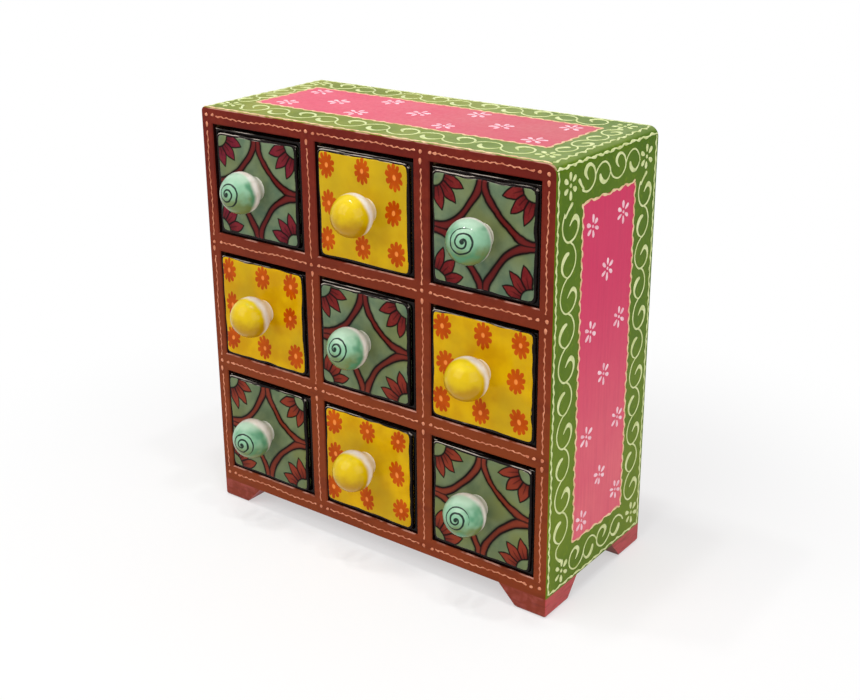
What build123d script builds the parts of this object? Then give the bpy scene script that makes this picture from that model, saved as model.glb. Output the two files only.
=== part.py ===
"""A small tabletop chest of nine drawers: a painted wooden case on four bracket feet, with a
glazed tile let into each drawer front and a round ceramic knob through its middle.

Millimetres. X runs to the right as seen from the front, Y runs from the front to the back and
Z runs up. The origin lies on the ground under the middle of the whole chest, knobs included.
"""
from build123d import *
import os

# Driving dimensions ---------------------------------------------------------------------------

# Case
columns = 3
rows = 3
case_width = 230.0
case_depth = 99.0
case_height = 240.0
top_thickness = 9.0
side_thickness = 8.0
bottom_thickness = 10.0
shelf_thickness = 11.0
divider_thickness = 10.0
back_thickness = 4.0
housing_depth = 2.5          # how far a shelf or divider end is let into the outer boards
corner_radius = 1.0          # outer edges of the case's front and back
right_arris_radius = 5.5     # top board's right-hand edge, sanded well round
left_arris_radius = 2.5      # top board's left-hand edge
opening_bevel = 0.6          # eased edge round each drawer opening

# Bracket feet
foot_height = 11.5
foot_front_top = 29.0
foot_front_bottom = 17.5
foot_side_top = 31.0
foot_side_bottom = 21.0
foot_toe_radius = 2.0

# Panel pins that hold the back
pin_diameter = 1.5
pin_length = 13.0
pin_head_diameter = 3.2
pin_head_thickness = 0.8

# Drawers
drawer_side_gap = 0.8        # air between a drawer and each side of its opening
drawer_top_gap = 2.2         # air over a drawer front
drawer_floor_gap = 0.3       # running clearance under a drawer
drawer_rear_gap = 3.0
drawer_setback = 1.5         # drawer's wooden face behind the case's front
drawer_front_thickness = 9.0
drawer_wall_thickness = 4.5
drawer_bottom_thickness = 3.0
drawer_wall_drop = 6.0       # how much lower the box is than its front
drawer_edge_radius = 0.6

# Tiles
tile_thickness = 4.5
tile_border = 1.4            # black wood showing round a tile
tile_seat_depth = 2.5        # how far a tile is let into the drawer front
tile_seat_gap = 0.2
tile_corner_radius = 2.2
tile_edge_radius = 1.0

# Knobs
knob_ball_diameter = 23.0
knob_length = 22.7
knob_base_diameter = 15.0
knob_neck_diameter = 13.8
knob_neck_height = 2.5       # narrowest place, measured from the tile
knob_shoulder_height = 5.0   # where the neck runs into the ball, measured from the tile

# How far right of and above its tile's middle each knob sits, the holes being drilled by eye:
# a line for each row from the top, a pair for each column from the left
knob_offsets = (
    ((-1.0, 0.5), (2.5, 1.0), (0.0, 0.5)),
    ((1.0, 3.0), (-3.0, 1.0), (-1.0, 3.0)),
    ((-3.0, 1.0), (-2.0, 3.0), (-2.0, 0.5)),
)

# What holds a knob
stud_diameter = 4.0
stud_grip = 10.0             # length of stud set into the knob
stud_tail = 1.2              # length of stud showing past the nut
stud_clearance = 0.15
washer_diameter = 10.0
washer_thickness = 0.8
nut_width = 7.0              # across flats
nut_thickness = 3.0

# Worked out from the driving dimensions -------------------------------------------------------

tile_stand_out = tile_thickness - tile_seat_depth - drawer_setback
knob_reach = tile_stand_out + knob_length
case_front = knob_reach - (case_depth + knob_reach) / 2
case_back = case_front + case_depth
inner_back = case_back - back_thickness
inner_depth = inner_back - case_front
middle_depth = case_front + inner_depth / 2

inner_width = case_width - 2 * side_thickness
inner_bottom = foot_height + bottom_thickness
inner_top = case_height - top_thickness
inner_height = inner_top - inner_bottom
opening_width = (inner_width - (columns - 1) * divider_thickness) / columns
opening_height = (inner_height - (rows - 1) * shelf_thickness) / rows
column_pitch = opening_width + divider_thickness
row_pitch = opening_height + shelf_thickness

drawer_width = opening_width - 2 * drawer_side_gap
drawer_front_height = opening_height - drawer_top_gap - drawer_floor_gap
drawer_wall_height = drawer_front_height - drawer_wall_drop
drawer_face = case_front + drawer_setback
drawer_front_back = drawer_face + drawer_front_thickness
drawer_rear = inner_back - drawer_rear_gap
tile_width = drawer_width - 2 * tile_border
tile_height = drawer_front_height - 2 * tile_border
tile_back = drawer_face + tile_seat_depth
tile_face = tile_back - tile_thickness


def opening_left(column):
    """X of an opening's left side. Column 0 is the left-hand one."""
    return -inner_width / 2 + column * column_pitch


def opening_floor(row):
    """Z of an opening's floor. Row 0 is the top one."""
    return inner_top - opening_height - row * row_pitch


def block(x_range, y_range, z_range):
    """A rectangular solid between pairs of coordinates."""
    size = [high - low for low, high in (x_range, y_range, z_range)]
    middle = [(high + low) / 2 for low, high in (x_range, y_range, z_range)]
    return Pos(*middle) * Box(*size)


def rod(radius, x, z, y_start, y_end):
    """A round bar along Y from y_start to y_end."""
    bar = Cylinder(radius, y_end - y_start, rotation=(90, 0, 0))
    return Pos(x, (y_start + y_end) / 2, z) * bar


def edges_along(part, axis, **places):
    """Edges parallel to an axis whose middle has the given coordinates, such as X=10."""
    found = part.edges().filter_by(axis)
    for name, value in places.items():
        found = [edge for edge in found if abs(getattr(edge.center(), name) - value) < 0.01]
    return found


# Case -----------------------------------------------------------------------------------------

case_left = -case_width / 2
case_right = case_width / 2
shelf_span = (-inner_width / 2 - housing_depth, inner_width / 2 + housing_depth)
divider_span = (inner_bottom - housing_depth, inner_top + housing_depth)


def opening_easings():
    """For every opening, the wedge that its bevelled rim takes off the boards round it."""
    wedges = []
    for row in range(rows):
        for column in range(columns):
            middle_x = opening_left(column) + opening_width / 2
            middle_z = opening_floor(row) + opening_height / 2
            rim = Plane(origin=(middle_x, case_front, middle_z), x_dir=(1, 0, 0), z_dir=(0, -1, 0))
            wide = rim * Rectangle(opening_width + 2 * opening_bevel,
                                   opening_height + 2 * opening_bevel)
            narrow = rim.offset(-opening_bevel) * Rectangle(opening_width, opening_height)
            wedges.append(loft([wide, narrow]))
    return wedges


def shelf_slot(row):
    """The board's thickness taken up by the shelf under a row, as a pair of heights."""
    top = opening_floor(row)
    return (top - shelf_thickness, top)


def divider_slot(column):
    """The board's thickness taken up by the divider right of a column, as a pair of X."""
    left = opening_left(column) + opening_width
    return (left, left + divider_thickness)


def make_top_board():
    board = block((case_left, case_right), (case_front, case_back), (inner_top, case_height))
    board = fillet(edges_along(board, Axis.Y, X=case_right, Z=case_height), right_arris_radius)
    board = fillet(edges_along(board, Axis.Y, X=case_left, Z=case_height), left_arris_radius)
    board = fillet(board.edges().filter_by(Axis.Z), corner_radius)  # runs on over the top
    for column in range(columns - 1):
        board -= block(divider_slot(column), (case_front, inner_back),
                       (inner_top, inner_top + housing_depth))
    return board


def make_bottom_board():
    board = block((-inner_width / 2, inner_width / 2), (case_front, inner_back),
                  (foot_height, inner_bottom))
    for column in range(columns - 1):
        board -= block(divider_slot(column), (case_front, inner_back),
                       (inner_bottom - housing_depth, inner_bottom))
    return board


def make_side_board(side):
    """side is -1 for the left board and 1 for the right one."""
    outer = side * case_width / 2
    inner = side * inner_width / 2
    board = block(sorted((outer, inner)), (case_front, case_back), (foot_height, inner_top))
    board = fillet(edges_along(board, Axis.Z, X=outer), corner_radius)
    for row in range(rows - 1):
        groove = sorted((inner, inner + side * housing_depth))
        board -= block(groove, (case_front, inner_back), shelf_slot(row))
    return board


def make_shelf(row):
    """A full-width shelf, slotted from the back to let the dividers in."""
    board = block(shelf_span, (case_front, inner_back), shelf_slot(row))
    for column in range(columns - 1):
        board -= block(divider_slot(column), (middle_depth, inner_back), shelf_slot(row))
    return board


def make_divider(column):
    """A full-height divider, slotted from the front to let the shelves in."""
    board = block(divider_slot(column), (case_front, inner_back), divider_span)
    for row in range(rows - 1):
        board -= block(divider_slot(column), (case_front, middle_depth), shelf_slot(row))
    return board


def make_foot(side, end):
    """A corner bracket whose two inner faces slope. side -1 is left, end -1 is the front."""
    outer_x = side * case_width / 2
    outer_y = case_front if end < 0 else case_back
    front_outline = [(outer_x, 0), (outer_x, foot_height),
                     (outer_x - side * foot_front_top, foot_height),
                     (outer_x - side * foot_front_bottom, 0)]
    side_outline = [(outer_y, 0), (outer_y, foot_height),
                    (outer_y - end * foot_side_top, foot_height),
                    (outer_y - end * foot_side_bottom, 0)]
    across = Plane.XZ * make_face(Polyline(*front_outline, close=True))
    along = Plane.YZ * make_face(Polyline(*side_outline, close=True))
    foot = (extrude(across, amount=case_width, both=True)
            & extrude(along, amount=case_width, both=True))
    foot = fillet(edges_along(foot, Axis.Z, X=outer_x, Y=outer_y), corner_radius)
    return fillet(foot.faces().sort_by(Axis.Z)[0].edges(), foot_toe_radius)


def pin_places():
    """Middle of each column, on the edge of each board that the back is pinned to."""
    heights = [(shelf_slot(row)[0] + shelf_slot(row)[1]) / 2 for row in range(rows - 1)]
    heights.append((foot_height + inner_bottom) / 2)
    middles = [opening_left(column) + opening_width / 2 for column in range(columns)]
    return [(x, z) for z in heights for x in middles]


def pin_shank(x, z):
    return rod(pin_diameter / 2, x, z, case_back - pin_length, case_back)


def pin_head(x, z):
    return rod(pin_head_diameter / 2, x, z, case_back - pin_head_thickness, case_back)


def make_back_panel():
    panel = block((-inner_width / 2, inner_width / 2), (inner_back, case_back),
                  (foot_height, inner_top))
    for x, z in pin_places():
        panel -= pin_shank(x, z) + pin_head(x, z)
    return panel


def make_case():
    """Every fixed piece of the case, by name."""
    boards = {
        "top_board": make_top_board(),
        "bottom_board": make_bottom_board(),
        "left_side": make_side_board(-1),
        "right_side": make_side_board(1),
        "upper_shelf": make_shelf(0),
        "lower_shelf": make_shelf(1),
        "left_divider": make_divider(0),
        "right_divider": make_divider(1),
    }
    easings = opening_easings()
    pins = pin_places()
    for name in boards:
        for easing in easings:
            boards[name] -= easing
    for name in ("bottom_board", "upper_shelf", "lower_shelf"):
        for x, z in pins:
            boards[name] -= pin_shank(x, z)
    boards["back_panel"] = make_back_panel()
    boards["back_pins"] = Compound([(pin_shank(x, z) + pin_head(x, z)).solid() for x, z in pins])
    for side, side_name in ((-1, "left"), (1, "right")):
        for end, end_name in ((-1, "front"), (1, "rear")):
            boards[f"{end_name}_{side_name}_foot"] = make_foot(side, end)
    return boards


# Drawers --------------------------------------------------------------------------------------


class Drawer:
    """One drawer, shut, in its place in the case."""

    def __init__(self, row, column):
        self.left = opening_left(column) + drawer_side_gap
        self.right = self.left + drawer_width
        self.floor = opening_floor(row) + drawer_floor_gap
        self.middle_x = self.left + drawer_width / 2
        self.middle_z = self.floor + drawer_front_height / 2
        row_offsets = knob_offsets[row % len(knob_offsets)]
        right, above = row_offsets[column % len(row_offsets)]
        self.knob_x = self.middle_x + right
        self.knob_z = self.middle_z + above

    def bore(self, y_start, y_end, clearance=0.0):
        """The stud's hole, or with no clearance the stud itself."""
        radius = stud_diameter / 2 + clearance
        return rod(radius, self.knob_x, self.knob_z, y_start, y_end)

    def tile_block(self, gap, y_start, y_end):
        """The tile's outline, let out by a gap and carried from y_start to y_end."""
        tile_x = (self.middle_x - tile_width / 2 - gap, self.middle_x + tile_width / 2 + gap)
        tile_z = (self.middle_z - tile_height / 2 - gap, self.middle_z + tile_height / 2 + gap)
        outline = block(tile_x, (y_start, y_end), tile_z)
        return fillet(outline.edges().filter_by(Axis.Y), tile_corner_radius + gap)

    def front(self):
        """The front board, with the tile's seat cut into it."""
        board = block((self.left, self.right), (drawer_face, drawer_front_back),
                      (self.floor, self.floor + drawer_front_height))
        board = fillet(board.faces().sort_by(Axis.Y)[0].edges(), drawer_edge_radius)
        board -= self.tile_block(tile_seat_gap, drawer_face, tile_back)
        board -= self.bore(tile_back, drawer_front_back, stud_clearance)
        return board

    def box(self):
        """Two sides, a back and a bottom, butted together behind the front board."""
        top = self.floor + drawer_wall_height
        inner_left = self.left + drawer_wall_thickness
        inner_right = self.right - drawer_wall_thickness
        length = (drawer_front_back, drawer_rear)
        back_face = drawer_rear - drawer_wall_thickness
        boards = [
            block((self.left, inner_left), length, (self.floor, top)),
            block((inner_right, self.right), length, (self.floor, top)),
            block((inner_left, inner_right), (back_face, drawer_rear), (self.floor, top)),
            block((inner_left, inner_right), (drawer_front_back, back_face),
                  (self.floor, self.floor + drawer_bottom_thickness)),
        ]
        return Compound([board.solid() for board in boards])

    def tile(self):
        plate = self.tile_block(0, tile_face, tile_back)
        plate = fillet(plate.faces().sort_by(Axis.Y)[0].edges(), tile_edge_radius)
        return plate - self.bore(tile_face, tile_back, stud_clearance)

    def knob(self):
        """A ball on a short waisted neck, turned about the stud. The ball is round in front of its
        widest place and closes on a tighter arc behind it."""
        ball = knob_ball_diameter / 2
        base = knob_base_diameter / 2
        widest = (ball, knob_length - ball)
        neck_end = (base, knob_shoulder_height)
        neck = ThreePointArc((base, 0), (knob_neck_diameter / 2, knob_neck_height), neck_end)
        rear = TangentArc(widest, neck_end, tangent=(0, -1))
        dome = CenterArc((0, knob_length - ball), ball, 0, 90)
        outline = neck + rear + dome + Line((0, knob_length), (0, 0)) + Line((0, 0), (base, 0))
        turned = revolve(make_face(outline), Axis.Y)
        placed = Pos(self.knob_x, tile_face, self.knob_z) * Rot(180, 0, 0) * turned
        return placed - self.bore(tile_face - stud_grip, tile_face)

    def knob_bolt(self):
        """The stud set into the knob, with the washer and nut that pull it tight."""
        washer_back = drawer_front_back + washer_thickness
        nut_back = washer_back + nut_thickness
        stud = self.bore(tile_face - stud_grip, nut_back + stud_tail)
        hole = self.bore(drawer_front_back, nut_back)
        washer = rod(washer_diameter / 2, self.knob_x, self.knob_z,
                     drawer_front_back, washer_back) - hole
        seat = Plane(origin=(self.knob_x, washer_back, self.knob_z), z_dir=(0, 1, 0))
        hexagon = RegularPolygon(nut_width / 2, 6, major_radius=False)
        nut = extrude(seat * hexagon, amount=nut_thickness) - hole
        return Compound([stud.solid(), washer.solid(), nut.solid()])

    def pieces(self):
        return {"front": self.front(), "box": self.box(), "tile": self.tile(),
                "knob": self.knob(), "knob_bolt": self.knob_bolt()}


def make_drawers():
    """Every drawer's pieces, named by row from the top and column from the left."""
    named = {}
    for row in range(rows):
        for column in range(columns):
            for piece_name, piece in Drawer(row, column).pieces().items():
                named[f"drawer_{row + 1}{column + 1}_{piece_name}"] = piece
    return named


os.makedirs("parts", exist_ok=True)
for node, shape in {**make_case(), **make_drawers()}.items():
    export_step(shape, f"parts/{node}.step")
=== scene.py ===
"""The looks of a small hand-painted chest of nine drawers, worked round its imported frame.

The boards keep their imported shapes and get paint. The tiles and knobs are new glazed surfaces that
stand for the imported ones. The scrolls, flowers and wavy lines are raised strokes of thick paint,
drawn flat in millimetres and then laid on the faces of the case.
"""

import math
from functools import reduce

import bpy
import numpy as np
from mathutils import Matrix, Vector


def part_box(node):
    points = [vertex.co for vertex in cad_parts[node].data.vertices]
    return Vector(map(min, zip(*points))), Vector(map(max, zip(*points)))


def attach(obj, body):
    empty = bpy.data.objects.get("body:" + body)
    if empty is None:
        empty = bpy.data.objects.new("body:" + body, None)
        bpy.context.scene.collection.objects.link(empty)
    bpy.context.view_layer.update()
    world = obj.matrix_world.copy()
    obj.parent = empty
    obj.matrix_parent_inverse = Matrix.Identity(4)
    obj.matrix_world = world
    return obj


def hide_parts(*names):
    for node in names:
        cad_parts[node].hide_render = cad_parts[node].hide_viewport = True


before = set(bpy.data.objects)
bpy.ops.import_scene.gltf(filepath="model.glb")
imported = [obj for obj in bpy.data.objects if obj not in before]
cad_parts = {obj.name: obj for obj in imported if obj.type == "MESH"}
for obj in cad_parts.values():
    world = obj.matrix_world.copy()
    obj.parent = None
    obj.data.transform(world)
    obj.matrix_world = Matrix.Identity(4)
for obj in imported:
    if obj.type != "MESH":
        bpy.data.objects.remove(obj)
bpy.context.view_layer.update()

MM = 0.001


def span(node):
    """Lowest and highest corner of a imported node, in millimetres."""
    low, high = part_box(node)
    return np.array(low) / MM, np.array(high) / MM


# Where the case is, in millimetres

(case_left, case_front, top_board_under), (case_right, _, case_top) = span("top_board")
side_inner, _, side_foot = span("right_side")[0]
bottom_board_top = span("bottom_board")[1][2]
left_divider, right_divider, upper_shelf, lower_shelf = (
    np.mean(span(node), axis=0)
    for node in ("left_divider", "right_divider", "upper_shelf", "lower_shelf"))
stile_centres = [(case_left - side_inner) / 2, left_divider[0], right_divider[0],
                 (case_right + side_inner) / 2]
rail_centres = [(case_top + top_board_under) / 2, upper_shelf[2], lower_shelf[2],
                (side_foot + bottom_board_top) / 2]
right_round = 5.5            # the top board's right arris, as it is in the part's source

# Painted panels: pink fields inside green borders. Depths run back from the case's front.
side_field_depth = (25.0, 75.75)
side_field_height = (33.0, 216.0)
top_field_left_right = (-98.0, 94.0)
top_field_depth = (25.75, 78.25)

# Paint strokes
relief = 0.32                # how proud the thick paint stands
sink = 0.06                  # how far its underside is sunk in the coat below
stroke_step = 0.7            # spacing of the points along a stroke
vine_step = 18               # length of the unit that the vine's stems and commas are drawn for

# Glaze
tile_crown = 0.45            # how much the middle of a tile stands over its rim
tile_proud = 0.1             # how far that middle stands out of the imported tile's face
tile_rim = tile_crown - tile_proud
tile_round = 1.1             # radius of the arris round a tile
tile_square = 28             # power that gives a tile's outline its square corners
pattern_half = (30.1, 28.6)  # half the width and height that the tiles' patterns are drawn for
map_unit = 100.0             # millimetres to one unit of a pattern map

# How far each tile keeps inside its packed place at its left, right, top and bottom. They were set
# one by one, none of them quite in the middle of its drawer front.
tile_insets = {
    "11": (1.4, 2.0, 1.2, 0.5), "12": (0.3, 1.2, 0.1, 0.0), "13": (0.2, 0.5, 0.6, 0.5),
    "21": (-1.2, 0.8, -1.2, -0.4), "22": (-1.2, 2.4, 0.4, 0.2), "23": (-0.8, 0.1, -1.2, 0.3),
    "31": (-1.2, 2.8, -0.6, 0.0), "32": (-1.2, 2.0, -0.8, 0.4), "33": (-0.2, 0.5, -0.5, 0.4)}

# Knobs: radius and height over the tile of the rear of the ball, as it narrows to its foot
knob_rear = [(11.3, 9.3), (10.5, 7.2), (9.1, 4.9), (7.5, 2.4), (6.7, 0.7), (6.6, 0.0), (6.6, -0.5)]


# Surfaces

def make_piece(name, points, faces, body, material, flat_map=None):
    """A mesh piece from points in millimetres and arrays of faces, riding on a body of the chest.

    flat_map gives each point a place (u, v) for the pattern that follows the surface."""
    mesh = bpy.data.meshes.new(name)
    rows = [row for group in faces for row in group.tolist()]
    mesh.from_pydata((np.asarray(points) * MM).tolist(), [], rows)
    mesh.polygons.foreach_set("use_smooth", np.ones(len(rows), bool))
    mesh.materials.append(material)
    if flat_map is not None:
        corners = np.zeros(len(mesh.loops), np.int32)
        mesh.loops.foreach_get("vertex_index", corners)
        places = flat_map.astype(np.float32)[corners]
        mesh.uv_layers.new(name="pattern").data.foreach_set("uv", places.ravel())
    mesh.update()
    piece = bpy.data.objects.new(name, mesh)
    bpy.context.scene.collection.objects.link(piece)
    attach(piece, body)
    return piece


def ring_faces(rings, around):
    """Four-sided faces that join each closed ring of points to the next one."""
    ring, place = np.meshgrid(np.arange(rings - 1) * around, np.arange(around), indexing="ij")
    after = (place + 1) % around
    corners = ring + place, ring + after, ring + around + after, ring + around + place
    return np.stack(corners, -1).reshape(-1, 4)


def fan_faces(ring, middle):
    """Three-sided faces that join a closed ring of points to one point."""
    return np.stack([ring, np.roll(ring, -1), np.full(len(ring), middle)], -1)


def closed_faces(rings, around):
    """Faces of a closed form: rings from front to back, and a middle point for each of its ends."""
    count = rings * around
    front, back = np.arange(around), np.arange(count - around, count)
    return [ring_faces(rings, around)[:, ::-1], fan_faces(front, count), fan_faces(back, count + 1)[:, ::-1]]


def rays(angle):
    """The points (cos, sin) at these angles."""
    return np.stack([np.cos(angle), np.sin(angle)], -1)


def turned(flat, angle):
    """Flat points turned leftwards round their origin."""
    cosine, sine = math.cos(angle), math.sin(angle)
    return flat @ np.array([[cosine, sine], [-sine, cosine]])


def way_along(line):
    """How far along a line each of its points lies."""
    return np.concatenate([[0], np.cumsum(np.hypot(*np.diff(line, axis=0).T))])


# Strokes of thick paint

def smooth_line(control, steps=10):
    """A smooth line through control points: between two of them the line is the cubic whose ends
    have the slope of the chord joining their neighbours."""
    control = np.asarray(control, float)
    padded = np.vstack([2 * control[0] - control[1], control, 2 * control[-1] - control[-2]])
    share = np.linspace(0, 1, steps, endpoint=False)[None, :, None]
    a, b, c, d = (padded[i:len(padded) - 3 + i, None] for i in range(4))
    spans = 0.5 * (2 * b + (c - a) * share + (2 * a - 5 * b + 4 * c - d) * share**2
                   + (3 * b - a - 3 * c + d) * share**3)
    return np.vstack([spans.reshape(-1, control.shape[1]), control[-1]])


class PaintWork:
    """Raised paint on one face of the case, drawn flat: across, up and how proud it stands."""

    across = np.array([1.0, 0.9, 0.55, 0.0, -0.55, -0.9, -1.0])
    rise = np.array([-sink / relief, 0.35, 0.83, 1.0, 0.83, 0.35, -sink / relief])

    def __init__(self, seed):
        self.chance = np.random.default_rng(seed)
        self.points, self.faces, self.count = [], [], 0

    def keep(self, points, *faces):
        self.points.append(points)
        self.faces.extend(group + self.count for group in faces)
        self.count += len(points)

    def near(self, x, up, spread):
        """A place that the hand meant to be (x, up)."""
        return np.array((x, up)) + self.chance.normal(0, spread, 2)

    def stroke(self, line, swell=1.0):
        """A stroke along a line of rows (across, up, width). Its section is a low arch whose height
        follows the width up to the full relief. Each end is rounded: the width there shrinks as the
        square root of 1 - (1 - d/r) squared, d being the way from the end and r half the width."""
        line = np.asarray(line, float)
        run = way_along(line[:, :2])
        length = run[-1]
        first, last = 0.5 * swell * line[[0, -1], 2]
        shares = np.array([0.02, 0.2, 0.6])
        between = np.linspace(first, length - last, max(3, int(length / stroke_step)))
        stops = np.concatenate([first * shares, between, length - last * shares[::-1]])
        x, y, width = (np.interp(stops, run, column) for column in line.T)
        slope = np.stack([np.gradient(x, stops), np.gradient(y, stops)], -1)
        slope /= np.linalg.norm(slope, axis=1, keepdims=True)
        ends = (np.minimum(stops / first, 1), np.minimum((length - stops) / last, 1))
        half = 0.5 * swell * width * np.sqrt(1 - (1 - ends[0]) ** 2) * np.sqrt(1 - (1 - ends[1]) ** 2)
        height = relief * np.minimum(1, 0.45 + 0.4 * half) * np.minimum(1, half / 0.3)
        sideways = half[:, None] * self.across
        proud = self.rise * np.where(self.rise > 0, height[:, None], relief)
        points = np.stack([x[:, None] + slope[:, 1:] * sideways,
                           y[:, None] - slope[:, :1] * sideways, proud], -1)
        around = len(self.across)
        section = np.arange(around)
        caps = np.array([section, section[::-1] + (len(x) - 1) * around])
        self.keep(points.reshape(-1, 3), ring_faces(len(x), around)[:, ::-1], caps)

    def dab(self, centre, length, width, turn=0.0, rise=1.0):
        """A domed dab of paint: an egg whose half width at angle a is w/2 sin a (1 + 0.3 cos a)."""
        around = 10
        angle = np.linspace(0, 2 * np.pi, around, endpoint=False)
        half_width = width / 2 * np.sin(angle) * (1 + 0.3 * np.cos(angle))
        egg = turned(np.stack([length / 2 * np.cos(angle), half_width], -1), turn)
        rings = [np.column_stack([egg * share + centre, np.full(around, level * relief * rise)])
                 for share, level in ((1.0, -sink / relief), (0.9, 0.5), (0.5, 0.95))]
        top = 3 * around
        self.keep(np.vstack([*rings, [[*centre, relief * rise]]]), ring_faces(3, around),
                  fan_faces(np.arange(top - around, top), top), np.arange(around)[::-1][None])

    def flower(self, centre, inner, outer, width, heart):
        """Six dabs laid round a dot, the first pointing about upwards, each a little out of true."""
        first = np.pi / 2 + self.chance.normal(0, 0.07)
        for petal in range(6):
            angle = first + 2 * np.pi * petal / 6 + self.chance.normal(0, 0.06)
            length = (outer - inner) * self.chance.normal(1, 0.06)
            middle = centre + (inner + length / 2) * rays(angle)
            self.dab(middle, length, width * self.chance.normal(1, 0.08), angle)
        self.dab(np.array(centre), heart, heart)

    def wavy(self, start, end, wave, swing, width, blobs=0.0, wander=0.3):
        """A wavy line from start to end: sideways = swing (sin p + 0.35 sin (2.3 p)) with a slow
        wander, one wave in 47 mm, where the phase p runs about once per wave. The width is its mean
        times 1 + 0.4 cos 1.4 p, as a squeezed cone leaves it, and a blob swells each end."""
        start, end = np.array(start, float), np.array(end, float)
        length = np.linalg.norm(end - start)
        onward = (end - start) / length
        run = np.arange(0, length, stroke_step / 2)
        drift = np.cumsum(self.chance.normal(0, 0.1, len(run)))
        phase = self.chance.uniform(0, 6) + 2 * np.pi * run / wave + drift
        sideways = swing * (np.sin(phase) + 0.35 * np.sin(2.3 * phase))
        sideways = sideways + wander * np.sin(2 * np.pi * run / 47 + phase[0]) * np.sin(np.pi * run / length)
        wide = width * (1 + 0.4 * np.cos(1.4 * phase))
        wide = wide + blobs * (np.exp(-((run / 1.2) ** 2)) + np.exp(-(((length - run) / 1.2) ** 2)))
        places = start + run[:, None] * onward + sideways[:, None] * np.array([-onward[1], onward[0]])
        self.stroke(np.column_stack([places, wide]))

    def vine(self, joints, sideways, reach=1.0, first_curls=True):
        """A scrolling vine from joint to joint. Units take turns: a curl, whose stem rounds a leaf
        and ends in a fat comma, and a bend, whose stem passes on the other side of a loose comma."""
        for number, (start, end) in enumerate(zip(joints[:-1], joints[1:])):
            curls = (number % 2 == 0) == first_curls
            shapes = [curl_stem] if curls else [bend_stem, loose_comma]
            if number == 0 and curls:
                shapes = [np.vstack([curl_start, curl_stem[1:]])]
            grow, shift = self.chance.normal(1, 0.035), self.chance.normal(0, 0.25)
            for shape in shapes:
                side, along, width = smooth_line(shape).T
                share = along / vine_step
                aside = side * reach * grow + shift * np.sin(np.pi * share)
                places = start + np.outer(aside, sideways) + np.outer(share, end - start)
                self.stroke(np.column_stack([places, width]), self.chance.normal(1, 0.07))

    def lay(self, name, onto, material, mirrored=False):
        """The piece itself: onto turns the flat drawing into points on its face of the case."""
        points = np.vstack(self.points)
        faces = [group[:, ::-1] for group in self.faces] if mirrored else self.faces
        make_piece(name, onto(*points.T), faces, "case", material)


# One unit of the vine, in steps of sideways, onward, width
curl_start = np.array([(1.9, -0.8, 2.1), (0.2, 0.6, 1.8), (-2.4, 2.6, 1.3), (-5.2, 5.4, 1.05)])
curl_stem = np.array([
    (-1.5, 0.0, 1.1), (-5.2, 3.4, 1.05), (-7.3, 8.8, 1.0), (-6.3, 13.6, 1.0), (-3.2, 17.2, 1.05),
    (0.4, 18.2, 1.15), (4.8, 16.5, 1.2), (7.2, 12.6, 1.5), (6.8, 8.8, 2.2), (4.2, 6.7, 2.7),
    (1.6, 7.7, 1.6), (-0.9, 10.2, 0.5)])
bend_stem = np.array([
    (0.2, 0.1, 1.0), (3.8, 2.9, 1.0), (6.1, 7.6, 1.0), (5.6, 12.6, 1.0), (2.2, 16.6, 1.05),
    (-1.6, 18.1, 1.1)])
loose_comma = np.array([
    (-0.1, 5.5, 1.5), (-3.2, 6.5, 2.7), (-5.8, 9.4, 2.5), (-6.3, 12.9, 1.6), (-4.2, 16.1, 1.0),
    (-0.9, 18.0, 0.5)])


def over_the_arris(run, end, proud):
    """Where a run along a face leads, and how far out of the arris's centre it then is. Past the
    foot of the rounded arris the run becomes a turn of run / radius."""
    turn = np.clip(run - end + right_round, 0, None) / right_round
    reach = right_round + proud
    return np.minimum(run, end - right_round) + reach * np.sin(turn), reach * np.cos(turn)


def onto_right(depth, up, proud):
    """Right side, and over the arris onto the top."""
    up, out = over_the_arris(up, case_top, proud)
    return np.stack([case_right - right_round + out, case_front + depth, up], -1)


def onto_left(depth, up, proud):
    """Left side, the right one's drawing seen in a mirror."""
    return np.stack([case_left - proud, case_front + depth, up], -1)


def onto_top(x, depth, proud):
    """Top, and over the arris onto the right side."""
    x, out = over_the_arris(x, case_right, proud)
    return np.stack([x, case_front + depth, case_top - right_round + out], -1)


def onto_front(x, up, proud):
    """Front of the case's boards."""
    return np.stack([x, case_front - proud, up], -1)


def outline_of(across, up):
    """The four sides of a rectangle, each from corner to corner."""
    corners = np.array([(across[0], up[0]), (across[1], up[0]), (across[1], up[1]), (across[0], up[1])])
    return list(zip(corners, np.roll(corners, -1, axis=0)))


def steps(start, end, units, fixed, upright):
    """Joints of a vine, evenly spaced from start to end on a straight line."""
    along = np.linspace(start, end, units + 1)
    still = np.full(units + 1, fixed)
    return np.column_stack([still, along] if upright else [along, still])


def side_borders(work):
    """Vines, corner flowers and outer wavy lines of a side."""
    work.vine(steps(218, 38.5, 10, 13.25, True), (1, 0))
    work.stroke(smooth_line([
        (12.2, 38.6, 1.0), (9.2, 36.4, 1.0), (8.9, 32.6, 1.1), (11.4, 29.4, 1.6), (14.2, 27.6, 2.3)]))
    work.vine(steps(218, 32.5, 11, 86.0, True), (1, 0), 0.9)
    work.vine(steps(20.5, 79.5, 4, 227.4, False), (0, 1), 0.86)
    work.vine(steps(79.5, 22.5, 4, 22.6, False), (0, 1), 0.86, first_curls=False)
    for centre in ((12.6, 227.4), (86.6, 226.6), (14.6, 21.6), (88.6, 22.6)):
        work.flower(centre, 2.3, 6.8, 2.5, 2.2)
    work.wavy((2.2, 13.0), (2.2, 236.0), 6.6, 0.35, 1.2)
    work.wavy((96.4, 236.0), (96.4, 13.0), 6.8, 0.35, 1.1)
    work.wavy((3.0, 12.9), (97.5, 12.9), 8.5, 0.35, 1.15)
    work.wavy((98.0, 236.8), (1.0, 236.8), 9.0, 0.35, 1.15)


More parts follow.
